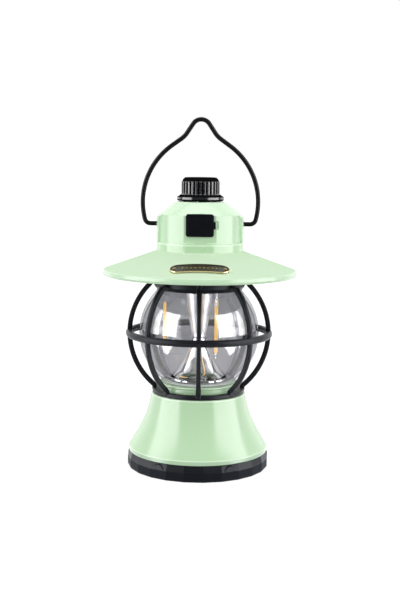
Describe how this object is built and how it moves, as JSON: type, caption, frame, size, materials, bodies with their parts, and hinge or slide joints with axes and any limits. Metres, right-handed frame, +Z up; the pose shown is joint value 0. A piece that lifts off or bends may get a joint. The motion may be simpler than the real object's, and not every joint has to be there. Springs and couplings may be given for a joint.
{
  "type": "camping lantern",
  "caption": "Rechargeable camping lantern with a flared base, smoked globe in a ribbed cage, wide sloping brim, covered charging port, dimmer knob and a folding wire bail.",
  "frame": {"origin": "centre of the foot's flat underside, on the lantern's axis", "axes": "+Z up along the lantern's axis, -Y out of the charging port at the front, +X to the right as seen from the front and along the bail's pivot line"},
  "size_m": [0.122, 0.122, 0.2206],
  "materials": {
    "mint_plastic": "satin",
    "black_plastic": "satin",
    "black_rubber": "matt",
    "black_wire": "satin",
    "mirror_plate": "mirror",
    "smoked_clear": "clear",
    "filament": "satin",
    "steel": "plated",
    "bronze": "antique",
    "silicone": "matt",
    "circuit_board": "satin",
    "cell_wrap": "film",
    "red_sleeve": "satin"
  },
  "bodies": {
    "lantern": {"foot_ring": "black_rubber", "cover_anchor": "black_rubber", "cable_black": "black_rubber", "base_plate": "black_plastic", "battery_cradle": "black_plastic", "cage_lower": "black_plastic", "cage_upper": "black_plastic", "lamp_head": "black_plastic", "base_shell": "mint_plastic", "globe_seat": "mint_plastic", "shade_brim": "mint_plastic", "cap_housing": "mint_plastic", "charge_board": "circuit_board", "filament_board": "circuit_board", "driver_board": "circuit_board", "port_board": "circuit_board", "tube_nut_lower": "steel", "tube_nut_upper": "steel", "centre_tube": "steel", "usb_a_socket": "steel", "usb_c_socket": "steel", "dimmer_body": "steel", "dimmer_nut": "steel", "base_screw_1": "steel", "base_screw_2": "steel", "base_screw_3": "steel", "base_screw_4": "steel", "head_screw_1": "steel", "head_screw_2": "steel", "head_screw_3": "steel", "head_screw_4": "steel", "filament_hanger_1": "steel", "filament_hanger_2": "steel", "filament_hanger_3": "steel", "filament_return_1": "steel", "filament_return_2": "steel", "filament_return_3": "steel", "battery_cell_1": "cell_wrap", "battery_cell_2": "cell_wrap", "globe_gasket_lower": "silicone", "globe_gasket_upper": "silicone", "globe": "smoked_clear", "reflector_lower": "mirror_plate", "reflector_upper": "mirror_plate", "led_filament_1": "filament", "led_filament_2": "filament", "led_filament_3": "filament", "name_plate": "bronze", "plate_pin_1": "bronze", "plate_pin_2": "bronze", "cable_red": "red_sleeve"},
    "bail": {"handle_bail": "black_wire"},
    "dimmer": {"dimmer_knob": "black_plastic", "dimmer_shaft": "steel"},
    "cover": {"port_cover": "black_rubber"}
  },
  "joints": [
    {"name": "bail_swing", "type": "hinge", "parent": "lantern", "child": "bail", "pos_m": [0, 0, 0.1544], "axis": [1, 0, 0], "range_deg": [-114, 112]},
    {"name": "dimmer_turn", "type": "hinge", "parent": "lantern", "child": "dimmer", "pos_m": [0, 0, 0.1683], "axis": [0, 0, -1], "range_deg": [0, 300]},
    {"name": "cover_swing", "type": "hinge", "parent": "lantern", "child": "cover", "pos_m": [-0.0077, -0.0258, 0.1547], "axis": [0, 0, -1], "range_deg": [0, 130]}
  ]
}
